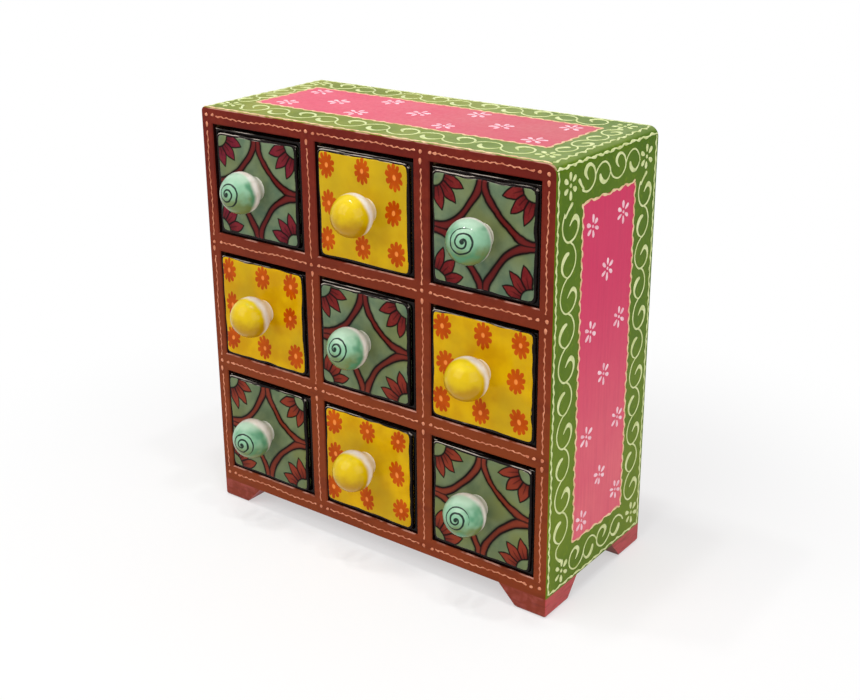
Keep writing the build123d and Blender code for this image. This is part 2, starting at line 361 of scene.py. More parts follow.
side_flowers = [
    (34.5, 202.4), (64.5, 202.8), (50.5, 176.8), (36.0, 147.4), (64.5, 146.8), (50.8, 119.9),
    (35.5, 89.9), (67.4, 89.3), (50.8, 62.1), (33.5, 42.4), (68.6, 45.8)]
top_flowers = [
    (-86.8, 68.9), (-34.5, 69.2), (23.9, 68.9), (80.8, 69.2), (-59.9, 52.6), (-4.0, 53.3),
    (50.1, 52.0), (-83.0, 35.8), (-33.3, 35.8), (25.1, 35.8), (80.1, 35.1)]


def paint_side(name, seed, onto, mirrored):
    """One side's raised paint: cream on the borders, peach round the field, blush on the field."""
    borders, edging, field = (PaintWork(seed + k) for k in range(3))
    side_borders(borders)
    for start, end in outline_of(side_field_depth, side_field_height):
        edging.wavy(start, end, 7.0 if start[0] == end[0] else 11.0, 0.5, 1.2, 0.7)
    for centre in side_flowers:
        field.flower(centre, 1.75, 6.1, 2.15, 1.7)
    borders.lay(name + "_scrolls", onto, paint["cream"], mirrored)
    edging.lay(name + "_field_edging", onto, paint["peach"], mirrored)
    field.lay(name + "_field_flowers", onto, paint["blush"], mirrored)


def paint_top(seed):
    """The top's raised paint."""
    borders, edging, field = (PaintWork(seed + k) for k in range(3))
    borders.vine(steps(-97, 93, 11, 13.9, False), (0, 1), 0.97)
    borders.vine(steps(-97, 90, 11, 88.3, False), (0, 1), 0.93)
    borders.vine(steps(80, 22, 4, 103.0, True), (1, 0), 0.7)
    borders.vine(steps(80, 22, 4, -105.6, True), (1, 0), 0.8)
    for centre in ((101.2, 88.0), (101.4, 13.6), (-105.0, 88.4), (-105.2, 13.2)):
        borders.flower(centre, 2.2, 6.6, 2.4, 2.1)
    borders.wavy((-112.2, 3.0), (-112.2, 96.5), 7.2, 0.45, 1.1)
    borders.wavy((-112.5, 97.0), (111.5, 97.0), 8.0, 0.4, 1.1)
    borders.wavy((111.2, 96.0), (111.2, 3.0), 7.6, 0.5, 1.0)
    for start, end in outline_of(top_field_left_right, top_field_depth):
        edging.wavy(start, end, 8.0, 0.5, 1.3, 0.7)
    edging.wavy((-113.5, 1.7), (112.0, 1.7), 8.5, 0.4, 1.4)
    for centre in top_flowers:
        field.flower(centre, 1.8, 6.7, 2.3, 1.8)
    borders.lay("top_scrolls", onto_top, paint["cream"])
    edging.lay("top_field_edging", onto_top, paint["peach"])
    field.lay("top_field_flowers", onto_top, paint["blush"])


def paint_front(seed):
    """Thin wavy lines along the middle of every rail and stile. Where they meet lies a dot, with
    one or two more beside it and a long one below."""
    work = PaintWork(seed)
    last = stile_centres[-1]
    for up in rail_centres:
        for left, right in zip(stile_centres[:-1], stile_centres[1:]):
            before = 7.5 if right == last else 3.4
            work.wavy((left + 7.2, up), (right - before, up), 4.6, 0.3, 0.66, 0.5, 0.55)
        for x in stile_centres:
            onward = -1 if x == last else 1
            work.dab(work.near(x, up, 0.3), 2.3, 2.0, work.chance.uniform(0, 3), 1.3)
            work.dab(work.near(x + onward * 4.9, up, 0.3), 2.4, 1.7, 0.3, 1.2)
            if work.chance.uniform() < 0.5:
                work.dab(work.near(x + onward * 9.2, up, 0.35), 1.9, 1.2, 0.2)
    for x in stile_centres:
        for high, low in zip(rail_centres[:-1], rail_centres[1:]):
            work.dab(work.near(x, high - 5.0, 0.25), 3.4, 1.8, np.pi / 2, 1.2)
            work.wavy((x, high - 8.6), (x, low + 3.2), 4.8, 0.26, 0.66, 0.5, 0.4)
    work.lay("front_lines", onto_front, paint["salmon"])


# Glazed pieces

def hand_cut(half, chance):
    """The outline of a tile, walked in even steps: |x/a|^28 + |z/b|^28 = 1, drawn in by a quarter of
    a millimetre, with a slow wobble."""
    angle = np.linspace(0, 2 * np.pi, 4001)[:-1]
    edge = rays(angle)
    radius = (np.abs(edge / half) ** tile_square).sum(axis=1) ** (-1 / tile_square)
    bumps = sum(chance.normal(0, 0.11) * np.cos(k * angle + chance.uniform(0, 6)) for k in (2, 3, 5, 7, 11))
    edge = edge * (radius - 0.25 + np.minimum(bumps, 0.22))[:, None]
    edge = np.vstack([edge, edge[:1]])
    run = way_along(edge)
    stops = np.linspace(0, run[-1], 240, endpoint=False)
    return np.stack([np.interp(stops, run, column) for column in edge.T], -1)


def make_tile(drawer, material, seed):
    """A pillowed tile. Rings shrink its outline towards the middle, where the face crowns as
    1 - share squared; the rim turns over a quarter circle into the sides, and the back is closed."""
    low, high = span(f"drawer_{drawer}_tile")
    left, right, top, bottom = tile_insets[drawer]
    low, high = low + (left, 0, bottom), high - (right, 0, top)
    face, back = low[1], high[1]
    low, high = low[[0, 2]], high[[0, 2]]
    centre, half, deep = (low + high) / 2, (high - low) / 2, back - face
    chance = np.random.default_rng(seed)
    outline = hand_cut(half, chance)
    turn = np.radians(np.linspace(0, 90, 7))[1:]
    level = np.zeros(16)
    inset = np.concatenate([level + tile_round, tile_round * (1 - np.sin(turn)), [0.0, 0.35]])
    share = np.concatenate([np.linspace(0.06, 1, len(level)), np.ones(len(turn) + 2)])
    drop = np.concatenate([level, tile_round * (1 - np.cos(turn)), [deep - 0.25, deep]])
    inward = outline / np.linalg.norm(outline, axis=1, keepdims=True)
    flat = np.stack([(outline - inward * gap) * part for gap, part in zip(inset, share)])
    waves = sum(chance.normal(0, 0.035) * np.sin(flat @ chance.uniform(0.05, 0.2, 2) + chance.uniform(0, 6))
                for _ in range(5))
    crown = tile_crown * (1 - share**2)[:, None] + waves * (drop < tile_round)[:, None]
    depth = face + tile_rim + drop[:, None] * (1 - tile_rim / deep) - crown
    points = np.stack([centre[0] + flat[..., 0], depth, centre[1] + flat[..., 1]], -1).reshape(-1, 3)
    points = np.vstack([points, [centre[0], face - tile_proud, centre[1]], [centre[0], back, centre[1]]])
    pattern = (points[:, [0, 2]] - centre) / half * pattern_half / map_unit
    tile = make_piece(f"drawer_{drawer}_glazed_tile", points, closed_faces(len(share), len(outline)),
                      f"drawer_{drawer}", material, pattern)
    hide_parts(f"drawer_{drawer}_tile")
    return outline + centre


def make_edging(drawer, outline, seed):
    """Black paint built up round a tile. Its section starts on the tile's rim, lapping over it by a
    wandering 0.1 to 0.7 mm, runs on level, and turns over a round arris to the wooden front, whose
    edges it stops at. The rim under it is the quarter circle y = R - sqrt(R^2 - (R + o)^2) at o
    outside the outline."""
    low, high = span(f"drawer_{drawer}_front")
    wood_face, rim = low[1], span(f"drawer_{drawer}_tile")[0][1] + tile_rim
    low, high = low[[0, 2]] + 0.05, high[[0, 2]] - 0.05
    chance = np.random.default_rng(seed)
    angle = np.linspace(0, 2 * np.pi, len(outline), endpoint=False)

    def wander(mean, swing, waves):
        return mean + sum(chance.normal(0, swing) * np.sin(k * angle + chance.uniform(0, 6)) for k in waves)

    along = np.roll(outline, -1, axis=0) - np.roll(outline, 1, axis=0)
    outward = np.stack([along[:, 1], -along[:, 0]], -1) / np.linalg.norm(along, axis=1, keepdims=True)
    lap = np.clip(wander(0.35, 0.06, (3, 7, 12, 19)), 0.1, 0.7)
    lump = np.clip(wander(0.1, 0.03, (9, 17, 26, 37)), 0.02, 0.2)
    outer = np.clip(wander(1.15, 0.04, (5, 11, 23)), 1.0, 1.3)

    def on_tile(out):
        reach = np.clip(tile_round + out, 0, tile_round)
        return rim + tile_round - np.sqrt(np.maximum(tile_round**2 - reach**2, 0))

    section = [(-lap - 0.25, on_tile(-lap - 0.25) + 0.12), (-lap, on_tile(-lap) - 0.05),
               (-lap * 0.55, on_tile(-lap * 0.55) - lump), (0.12, rim + 0.38 - lump),
               (outer * 0.5, rim + 0.46 - lump), (outer * 0.8, rim + 0.72 - lump),
               (outer * 0.95, wood_face - 0.55), (outer, wood_face + 0.1), (outer, wood_face + 0.2),
               (-lap - 0.25, wood_face + 0.2)]
    rows = []
    for out, y in section:
        across, up = np.clip(outline + outward * np.reshape(out, (-1, 1)), low, high).T
        rows.append(np.stack(np.broadcast_arrays(across, y, up), -1))
    faces = ring_faces(len(rows) + 1, len(outline))[:, ::-1] % (len(rows) * len(outline))
    make_piece(f"drawer_{drawer}_black_edging", np.vstack(rows), [faces], f"drawer_{drawer}",
               black)


def make_knob(drawer, material, slot, heart, turn, seed):
    """A knob turned from a profile: a round dome as far as its widest place, and behind it a smooth
    line through knob_rear down to its foot. The pattern map holds the way from the front pole, laid
    out round it, so that a pattern drawn there follows the ball. Its own middle, the heart, lies
    some millimetres right of and above the pole, and it is turned round that heart."""
    low, high = span(f"drawer_{drawer}_knob")
    centre, tip, base, ball = (low + high) / 2, low[1], high[1], (high[0] - low[0]) / 2
    polar = np.radians(np.linspace(2.5, 88, 32))
    dome = np.stack([ball * np.sin(polar), tip + ball - ball * np.cos(polar)], -1)
    rear = smooth_line([dome[-1], *((radius, base - height) for radius, height in knob_rear)], 5)[1:]
    profile = np.vstack([dome, rear])
    way = way_along(profile) + ball * polar[0]
    chance = np.random.default_rng(seed)
    around = 96
    angle = np.linspace(0, 2 * np.pi, around, endpoint=False)
    oval, three = (size * np.cos(waves * angle + chance.uniform(0, 6))
                   for waves, size in ((2, 0.008), (3, 0.005)))
    wobble = 1 + oval + three
    across, up = np.moveaxis(rays(angle) * (profile[:, :1] * wobble)[..., None], -1, 0)
    depth = np.repeat(profile[:, 1:], around, 1)
    points = np.stack([centre[0] + across, depth, centre[2] + up], -1).reshape(-1, 3)
    points = np.vstack([points, [centre[0], tip, centre[2]], [centre[0], base + 0.5, centre[2]]])
    pattern = (way[:, None, None] * rays(angle)).reshape(-1, 2)
    pattern = np.vstack([pattern, [0, 0], pattern[-around]]) - heart
    knob = make_piece(f"drawer_{drawer}_glazed_knob", points, closed_faces(len(profile), around),
                      f"drawer_{drawer}", material, turned(pattern, -turn) / map_unit)
    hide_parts(f"drawer_{drawer}_knob")


# Finishes

def rgb(red, green, blue):
    """A colour as it looks on a screen, 0 to 255, turned into the shader's own scale."""
    share = np.array([red, green, blue]) / 255
    return (*np.where(share <= 0.04045, share / 12.92, ((share + 0.055) / 1.055) ** 2.4).tolist(), 1.0)


def sum_of(operation):
    """A method that works a number out with one math node."""
    def worked_out(number, *others):
        return number.sum(operation, *others)
    return worked_out


class Number:
    """A number that shader nodes read or work out, so that a pattern can be written as a sum."""

    def __init__(self, finish, socket):
        self.finish, self.socket = finish, socket

    def sum(self, operation, *others):
        node = self.finish.node("Math", operation=operation)
        for place, value in zip(node.inputs, (self, *others)):
            self.finish.feed(place, value)
        return Number(self.finish, node.outputs[0])

    __add__ = __radd__ = sum_of("ADD")
    __mul__ = __rmul__ = sum_of("MULTIPLY")
    __sub__ = sum_of("SUBTRACT")
    __truediv__ = sum_of("DIVIDE")
    __pow__ = sum_of("POWER")
    size = sum_of("ABSOLUTE")
    root = sum_of("SQRT")
    least = sum_of("MINIMUM")
    most = sum_of("MAXIMUM")
    over = sum_of("GREATER_THAN")
    under = sum_of("LESS_THAN")

    def __neg__(self):
        return self * -1.0

    def __rsub__(self, other):
        return -self + other

    def rising(self, low, high):
        """0 below low, 1 above high, smooth between; falls instead where low is the higher."""
        node = self.finish.node("MapRange", interpolation_type="SMOOTHSTEP")
        if low > high:
            low, high = high, low
            node.inputs["To Min"].default_value, node.inputs["To Max"].default_value = 1.0, 0.0
        for place, value in zip(node.inputs, (self, low, high)):
            self.finish.feed(place, value)
        return Number(self.finish, node.outputs[0])

    def within(self, low, high, soft):
        """1 between low and high, softened over soft on each side."""
        return self.rising(low - soft, low + soft) * self.rising(high + soft, high - soft)

    def close_to(self, other, width, soft=0.18):
        """1 where this is within half the width of the other."""
        return (self - other).size().rising(width / 2 + soft, width / 2 - soft)


class Finish:
    """One material in the making: its nodes, its shader and where a pattern is read."""

    def __init__(self, name, **settings):
        self.material = bpy.data.materials.new(name)
        self.material.use_nodes = True
        self.tree = self.material.node_tree
        self.shader = next(n for n in self.tree.nodes if n.type == "BSDF_PRINCIPLED")
        for socket, value in settings.items():
            self.shader.inputs[socket.replace("_", " ")].default_value = value
        self.where = self.node("TexCoord")

    def node(self, kind, **settings):
        node = self.tree.nodes.new("ShaderNode" + kind)
        for key, value in settings.items():
            setattr(node, key, value)
        return node

    def feed(self, place, value):
        """Link a number or a socket to a place on a node, or set the place to a plain value."""
        if isinstance(value, Number):
            value = value.socket
        if isinstance(value, bpy.types.NodeSocket):
            self.tree.links.new(value, place)
        else:
            place.default_value = value

    def parts(self, socket):
        node = self.node("SeparateXYZ")
        self.feed(node.inputs[0], socket)
        return [Number(self, out) for out in node.outputs]

    def place(self):
        """The point on the chest, in millimetres."""
        return [part * 1000.0 for part in self.parts(self.where.outputs["Object"])]

    def facing(self):
        """Which way the surface faces, for the chest itself."""
        return self.parts(self.where.outputs["Normal"])

    def pattern_place(self):
        """The point on the piece's own pattern map, in millimetres."""
        across, up, _ = self.parts(self.where.outputs["UV"])
        return across * map_unit, up * map_unit

    def mottle(self, size, detail=2.0, stretch=(1, 1, 1), distortion=0.0):
        """Cloudy unevenness, about 0.3 to 0.7, whose clouds measure size millimetres."""
        scaled = self.node("Mapping")
        scaled.inputs["Scale"].default_value = [1 / MM / size / part for part in stretch]
        self.feed(scaled.inputs["Vector"], self.where.outputs["Object"])
        noise = self.node("TexNoise")
        self.feed(noise.inputs["Vector"], scaled.outputs[0])
        for socket, value in (("Scale", 1.0), ("Detail", detail), ("Distortion", distortion)):
            noise.inputs[socket].default_value = value
        return Number(self, noise.outputs[0])

    def blend(self, share, first, second):
        """The first colour where share is 0, the second where it is 1. A colour is a socket, or red,
        green and blue from 0 to 255."""
        node = self.node("Mix", data_type="RGBA")
        self.feed(node.inputs[0], share)
        for place, colour in zip((node.inputs[6], node.inputs[7]), (first, second)):
            self.feed(place, rgb(*colour) if isinstance(colour, tuple) else colour)
        return node.outputs[2]

    def layers(self, colour, *coats):
        """A colour with coats over it, each a share and a colour."""
        for share, coat in coats:
            colour = self.blend(share, colour, coat)
        return colour

    def bump(self, height, depth):
        """Relief: height 0 to 1 stands for depth in millimetres."""
        node = self.node("Bump")
        node.inputs["Distance"].default_value = depth * MM
        self.feed(node.inputs["Height"], height)
        self.feed(self.shader.inputs["Normal"], node.outputs[0])

    def set(self, colour=None, roughness=None):
        if colour is not None:
            self.feed(self.shader.inputs["Base Color"], colour)
        if roughness is not None:
            self.feed(self.shader.inputs["Roughness"], roughness)
        return self.material


def thick_paint(name, colour, shade):
    """Raised paint from a cone: a little uneven, with a soft sheen."""
    finish = Finish(name, Specular_IOR_Level=0.2)
    cloud = finish.mottle(5.0, 3.0)
    finish.bump(finish.mottle(0.7, 2.0), 0.05)
    return finish.set(finish.blend(cloud.rising(0.3, 0.68), shade, colour), cloud * 0.2 + 0.32)


def hand_painted_wood():
    """The case: red-brown front boards, green borders and pink fields on top and sides, and the
    insides of the openings: bare wood, with a near-black band just behind the front that is run-in
    paint darkened as painted shade. They are told apart by where a point is and which way it faces."""
    finish = Finish("hand_painted_wood", Specular_IOR_Level=0.08)
    x, y, z = finish.place()
    nx, ny, nz = finish.facing()
    depth = y - case_front
    broad, fine = finish.mottle(38.0, 3.0), finish.mottle(3.2, 3.0)
    streak = finish.mottle(1.3, 3.0, (1, 1, 16))
    level = z / case_top

    red = finish.layers(
        (128, 56, 22), (level.rising(0.3, 1.0), (106, 30, 22)),
        ((broad * 0.6 + fine * 0.4).rising(0.42, 0.75) * 0.5, (138, 54, 32)),
        (finish.mottle(9.0, 3.0, (3, 1, 1)).rising(0.45, 0.75) * 0.4, (84, 24, 18)))

    looks_up = nz.rising(0.55, 0.8)
    top_green = finish.blend(x.rising(-60, 110), (138, 144, 34), (124, 144, 72))
    # The sides' green and pink grow paler towards the bottom: a painted reflection.
    green = finish.layers(
        (106, 128, 12), (level.rising(0.1, 0.8), (84, 114, 0)), (looks_up, top_green),
        (broad.rising(0.35, 0.7) * 0.5, (62, 98, 8)), (fine.rising(0.5, 0.8) * 0.3, (140, 160, 44)))
    top_pink = finish.blend(x.rising(-80, 90), (228, 94, 116), (206, 96, 106))
    pink = finish.layers(
        (226, 106, 118), (level.rising(0.15, 0.75), (212, 56, 98)), (looks_up, top_pink),
        (broad.rising(0.35, 0.72) * 0.35, (214, 74, 108)),
        (streak.rising(0.4, 0.75) * 0.2, (184, 48, 84)))
    side_field = depth.within(*side_field_depth, 0.15) * z.within(*side_field_height, 0.15)
    top_field = depth.within(*top_field_depth, 0.15) * x.within(*top_field_left_right, 0.15)
    field = side_field * (1.0 - looks_up) + top_field * looks_up

    grain = (finish.mottle(2.2, 4.0, (12, 12, 1)) + fine * 0.3).rising(0.45, 0.85)
    # Painted shade: about the first 5 to 7.5 mm inside each opening are near black, the front's paint run in
    # and darkened.
    run_in_and_shade = (depth + fine * 5.0).rising(7.5, 5.0)
    outer_side = x.size().over(side_inner + 2.0) * nx.size().over(0.3) * (x * nx).over(0.0)
    outer_top = z.over(top_board_under + 2.0) * nz.over(0.3)
    underside = nz.under(-0.6) * z.under(side_foot + 1.0)
    plain = finish.blend(fine.rising(0.4, 0.7), (104, 36, 34), (126, 52, 44))
    # Pale marks on the upward-facing eased edges of the front: wear and a painted highlight.
    wear_and_gleam_streaks = finish.mottle(3.0, 2.0, (3, 1, 1)).rising(0.4, 0.6)
    wear_and_highlight = nz.within(0.4, 0.85, 0.08) * wear_and_gleam_streaks * depth.under(1.4)
    colour = finish.layers(
        (166, 126, 84), (grain, (120, 84, 52)), (run_in_and_shade, (40, 14, 12)),
        (outer_side.most(outer_top), finish.blend(field, green, pink)),
        (ny.rising(0.6, 0.7).most(underside), plain),
        ((-ny).rising(0.62, 0.72) * depth.under(1.3), red), (wear_and_highlight * 0.75, (206, 150, 132)))
    finish.bump(fine * 0.5 + streak * 0.5, 0.07)
    return finish.set(colour, fine * 0.25 + broad * 0.2 + 0.18)


def painted_feet():
    """Bracket feet: the front's red-brown in front, a rosier red on the sides."""
    finish = Finish("painted_feet", Specular_IOR_Level=0.12)
    sidewards = finish.facing()[0].size()
    fine, streak = finish.mottle(4.0, 3.0), finish.mottle(1.6, 3.0, (8, 8, 1))
    colour = finish.layers(
        (132, 54, 36), (sidewards.rising(0.6, 0.75), (186, 76, 78)),
        (fine.rising(0.4, 0.75) * 0.6, (170, 84, 76)), (streak.rising(0.45, 0.75) * 0.4, (96, 34, 30)))
    finish.bump(streak, 0.1)
    return finish.set(colour, fine * 0.3 + 0.32)


def back_board_paint():
    """A thin wash of the red-brown over the grain of the board."""
    finish = Finish("washed_board")
    grain = finish.mottle(2.4, 4.0, (1, 1, 18), 0.4)
    cloud = finish.mottle(45.0, 3.0)
    colour = finish.layers((120, 48, 38), (grain.rising(0.35, 0.7), (148, 74, 56)),
                           (cloud.rising(0.45, 0.75) * 0.5, (96, 36, 30)))
    finish.bump(grain, 0.12)
    return finish.set(colour, cloud * 0.2 + 0.48)


def black_gloss():
    """The drawer fronts: thick black paint, brushed on. Along the upper arris of each lie thin
    pale strands, a painted highlight, that fade out to the right."""
    finish = Finish("black_gloss_paint", Specular_IOR_Level=0.1)
    x = finish.place()[0]
    upward = finish.facing()[2]
    fine, wave = finish.mottle(1.8, 3.0), finish.mottle(5.0, 2.0, (3, 1, 1))
    strand = finish.mottle(1.1, 2.0, (20, 1, 1))
    bay = stile_centres[2] - stile_centres[1]
    across = ((x - stile_centres[1]) / bay).sum("FRACT")
    # Painted highlight: thin pale strands on the upper arris, fading to the right.
    wear_and_gleam_streaks = upward.within(0.3, 0.8, 0.12) * (strand - across * 0.16).rising(0.38, 0.46)
    colour = finish.layers((9, 5, 5), (fine.rising(0.3, 0.7), (22, 12, 10)), (wear_and_gleam_streaks * 0.9, (196, 184, 172)))
    finish.bump(fine * 0.3 + wave, 0.12)
    return finish.set(colour, fine * 0.2 + 0.15)


def bare_wood():
    """Unpainted drawer boards: pale wood with its grain running back, or across on the boards that
    face front and back, and darker pores."""
    finish = Finish("bare_wood")
    across = finish.facing()[1].size().rising(0.6, 0.8)

    def along_the_board(size, detail, long, distortion=0.0):
        back, over = (finish.mottle(size, detail, stretch, distortion)
                      for stretch in ((1, long, 1), (long, 1, 1)))
        return back + (over - back) * across

    grain = along_the_board(1.8, 4.0, 20, 0.6)
    pores = along_the_board(0.6, 2.0, 12)
    cloud = finish.mottle(30.0, 2.0)
    colour = finish.layers(
        (206, 166, 116), (grain.rising(0.3, 0.72), (168, 124, 78)),
        (pores.rising(0.6, 0.75) * 0.6, (110, 76, 46)), (cloud.rising(0.4, 0.8) * 0.3, (190, 140, 92)))
    finish.bump(grain * 0.6 + pores, 0.1)
    return finish.set(colour, grain * 0.15 + 0.55)


def turned_steel():
    """Bolts, washers, nuts and pins: bright steel with fine turning marks and a dull bloom."""
    finish = Finish("steel", Metallic=1.0)
    bloom, marks = finish.mottle(2.5, 3.0), finish.mottle(0.25, 2.0, (1, 0.3, 1))
    finish.bump(marks, 0.02)
    colour = finish.blend(bloom.rising(0.35, 0.7), (186, 186, 184), (150, 146, 140))
    return finish.set(colour, bloom * 0.3 + 0.2)


def glaze(name, specular=0.06, roughness=0.1):
    """A clear glossy glaze over a painted body."""
    return Finish(name, Specular_IOR_Level=specular, Roughness=roughness)


def star_tile():
    """Celadon tile. Round each corner a maroon band lies between 24.5 and 27.8 mm from it, and both
    its lines reach further out towards the tile's edges as |cos 2f|^3 at angle f from the edge, so
    that the four bands leave a pointed star; a dark seam parts two bands that meet. Nearer the
    corner three petals stand on a small arc: a petal's half width is 3.5 (1 - s^3) mm at share s of
    its length, or half the room between its axis and the next one's if that is less."""
    finish = glaze("celadon_star_tile")
    x, _, z = finish.place()
    u, v = finish.pattern_place()
    drift, shake, drift_up = finish.mottle(17.0, 1.0), finish.mottle(5.0, 2.0), finish.mottle(21.0, 1.0)
    u = u + (drift - 0.5) * 3.4 + (shake - 0.5) * 1.1
    v = v + (drift_up - 0.5) * 3.4 + (shake - 0.5) * 1.1
    a, b = (half - part.size() for half, part in zip(pattern_half, (u, v)))
    r = (a * a + b * b).root()
    folded = (a * a - b * b) / (r * r)
    spread = folded.size() ** 3.0
    inner, outer = spread * (folded * 0.5 + 1.7) + 24.5, spread * 3.3 + 27.8
    band = r.over(inner) * r.under(outer)
    seam = u.size().least(v.size()).rising(0.7, 0.2) * band * 0.8
    band_line = r.close_to(inner, 1.05, 0.35).most(r.close_to(outer, 1.05, 0.35)).most(seam)
    band_shade = r.close_to(inner, 2.1, 0.9).most(r.close_to(outer, 2.1, 0.9))

    spacing = math.radians(27.5)
    fan = (b.sum("ARCTAN2", a) - math.pi / 4) / spacing
    petal = fan.sum("ROUND").most(-1.0).least(1.0)
    aside = (((fan - petal) * spacing).sum("SINE") * r).size()
    share = (r - 7.3) / 12.4
    along = share.most(0.0).least(1.0)
    room = ((1.0 - along**3.0) * 3.5).least(r * math.sin(spacing / 2))
    leaf = room.over(aside) * share.over(0.0)
    leaf_line = aside.close_to(room, 0.95, 0.35) * share.within(-0.01, 1.03, 0.02)
    vein = aside.rising(0.55, 0.1) * share.within(0.0, 0.5, 0.12)
    base = r.close_to(7.4, 1.0, 0.35) * fan.size().under(1.6)

    cloud, speck, broad = finish.mottle(9.0, 3.0), finish.mottle(1.4, 2.0), finish.mottle(26.0, 2.0)
    lower = z.rising(170, 60)
    ground = finish.layers(
        (116, 132, 100), (cloud.rising(0.3, 0.7), (88, 110, 88)),
        (broad.rising(0.42, 0.7) * 0.6 + lower * 0.25, (116, 120, 62)))
    maroon = finish.blend(lower, (102, 30, 28), (126, 52, 34))
    petals = finish.layers(
        (106, 22, 26), (lower, (134, 54, 32)), (x.rising(-30, -60) * z.rising(150, 185), (104, 18, 42)),
        ((cloud * 0.5 + speck * 0.5).rising(0.35, 0.65) * 0.4, (140, 50, 42)),
        (share.rising(0.55, 0.0) * 0.6, (66, 8, 12)))
    ink = band_line.most(leaf_line).most(base) * (speck * 0.3 + 0.82).least(1.0)
    return finish.set(finish.layers(
        ground, (band, maroon), (leaf, petals), (band_shade * 0.45, (40, 10, 8)),
        (vein * 0.6, (44, 6, 8)), (ink, (14, 5, 5))))


def daisy_tile():
    """Yellow tile with eight orange daisies of ten petals, taller than wide by 7 to 5.5. Before that
    stretch a petal is a finger: within 1.15 mm of the line along its axis to 4.45 mm out."""
    finish = glaze("yellow_daisy_tile")
    z = finish.place()[2]
    u, v = finish.pattern_place()
    drift, drift_up = finish.mottle(23.0, 1.0), finish.mottle(19.0, 1.0)
    u = u + (drift - 0.5) * 5.0 + 0.8
    v = v + (drift_up - 0.5) * 5.0
    cloud, speck, broad = finish.mottle(12.0, 3.0), finish.mottle(1.2, 2.0), finish.mottle(30.0, 2.0)
    petal_turn = 2 * math.pi / 10
    blooms, dots = [], []
    for across, up in ((22.9, 21.2), (1.4, 21.4), (21.7, 2.0), (23.8, -19.1), (0.6, -19.2)):
        a, b = (u.size() if across > 5 else u) - across, (v - up) * 0.79
        r = (a * a + b * b).root()
        off = ((b.sum("ARCTAN2", a) / petal_turn).sum("FRACT") - 0.5) * petal_turn
        beyond, aside = (off.sum("COSINE") * r - 4.45).most(0.0), off.sum("SINE") * r
        reach = (beyond * beyond + aside * aside).root() + (speck - 0.5) * 0.7
        blooms.append(reach.rising(1.3, 0.95))
        dots.append(r.rising(1.35, 0.8))
    petals, heart = (reduce(Number.most, shares) for shares in (blooms, dots))
    ground = finish.layers(
        (220, 174, 4), (cloud.rising(0.3, 0.7), (202, 150, 2)),
        (z.rising(140, 215) * 0.5, (198, 172, 34)), (broad.rising(0.42, 0.7) * 0.6, (186, 154, 28)))
    orange = finish.blend(cloud.rising(0.3, 0.7), (196, 76, 2), (172, 56, 0))
    return finish.set(finish.layers(ground, (petals * 0.95, orange), (heart * 0.85, (244, 146, 64))))


def knob_glaze(name, front, top_highlight, low, spiral):
    """Knob: coloured over the front of the ball, paler on top as a painted highlight and darker where
    it faces down as painted shade, and white behind. The two part softly where the way from the heart
    of the pattern passes about 17 mm, and up to 2 mm sooner on top, where the white also stands for
    part of the painted highlight. A spiral's line runs where (way - 7.3 mm) / 3.1 mm plus turns is
    whole, so that its tail lies to the pattern's right."""
    finish = glaze(name, 0.2, 0.06)
    u, v = finish.pattern_place()
    way = (u * u + v * v).root()
    upward = finish.facing()[2]
    cloud, shake = finish.mottle(6.0, 2.0), finish.mottle(4.0, 1.0)
    # Painted highlight on top of the ball and painted shade under it.
    coats = [((upward + (cloud - 0.5) * 0.8).rising(0.35, 0.95) * 0.55, top_highlight),
             ((upward + (cloud - 0.5) * 0.9).rising(0.3, -0.45), low)]
    if spiral:
        blotch = finish.mottle(11.0, 2.0).rising(0.46, 0.64) * way.rising(5, 9) * upward.rising(0.9, 0.5)
        end, pitch = 7.3, 3.1
        turns = v.sum("ARCTAN2", u) / (2 * math.pi)
        off = ((way - end + (shake - 0.5) * 1.2) / pitch + turns + 0.5).sum("FRACT") - 0.5
        half_line = 0.6 - way * 0.025
        line = (off.size() * pitch - half_line).rising(0.16, -0.12) * way.rising(end + 0.3, end - 0.1)
        coats.append((blotch * 0.85, (70, 136, 98)))
        coats.append((line.most(way.rising(1.3, 0.9)) * 0.97, (8, 24, 20)))
    edge = way + (finish.mottle(8.0, 2.0) - 0.5) * 3.0 + upward * 2.0
    white = finish.blend(finish.mottle(5.0, 2.0).rising(0.35, 0.7), (238, 234, 226), (222, 214, 200))
    return finish.set(finish.layers(front, *coats, (edge.rising(15.4, 18.4), white)))


paint = {
    "cream": thick_paint("cream_cone_paint", (224, 230, 172), (198, 208, 138)),
    "peach": thick_paint("peach_cone_paint", (240, 208, 164), (222, 176, 130)),
    "blush": thick_paint("blush_cone_paint", (250, 214, 222), (236, 176, 190)),
    "salmon": thick_paint("salmon_cone_paint", (222, 148, 114), (190, 110, 78)),
}
painted_case, feet, board = hand_painted_wood(), painted_feet(), back_board_paint()
black, wood, steel = black_gloss(), bare_wood(), turned_steel()
tiles = {"celadon_glaze": star_tile(), "yellow_glaze": daisy_tile()}
# Each knob glaze: its front colour, a painted highlight for its top and a painted shade for its underside.
knobs = {
    "celadon_glaze": knob_glaze("mint_spiral_knob", (134, 182, 148), (204, 226, 204), (108, 126, 72), True),
    "yellow_glaze": knob_glaze("yellow_knob", (214, 180, 0), (238, 214, 40), (182, 136, 0), False),
}


# Each knob's spiral: its heart's place right of and above the pole, and which way its tail lies, in
# radians round from the right
spirals = {"11": ((0.4, 1.6), 4.4), "13": ((3.4, 2.8), 2.1), "22": ((0.4, 3.2), 4.7),
           "31": ((2.2, 0.6), 5.8), "33": ((1.8, 2.3), 0.8)}
no_spiral = ((0.5, 1.0), 0.0)

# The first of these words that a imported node's name holds tells its finish
finishes = {"foot": feet, "pins": steel, "bolt": steel, "back_panel": board, "_box": wood,
            "drawer_": black, "": painted_case}

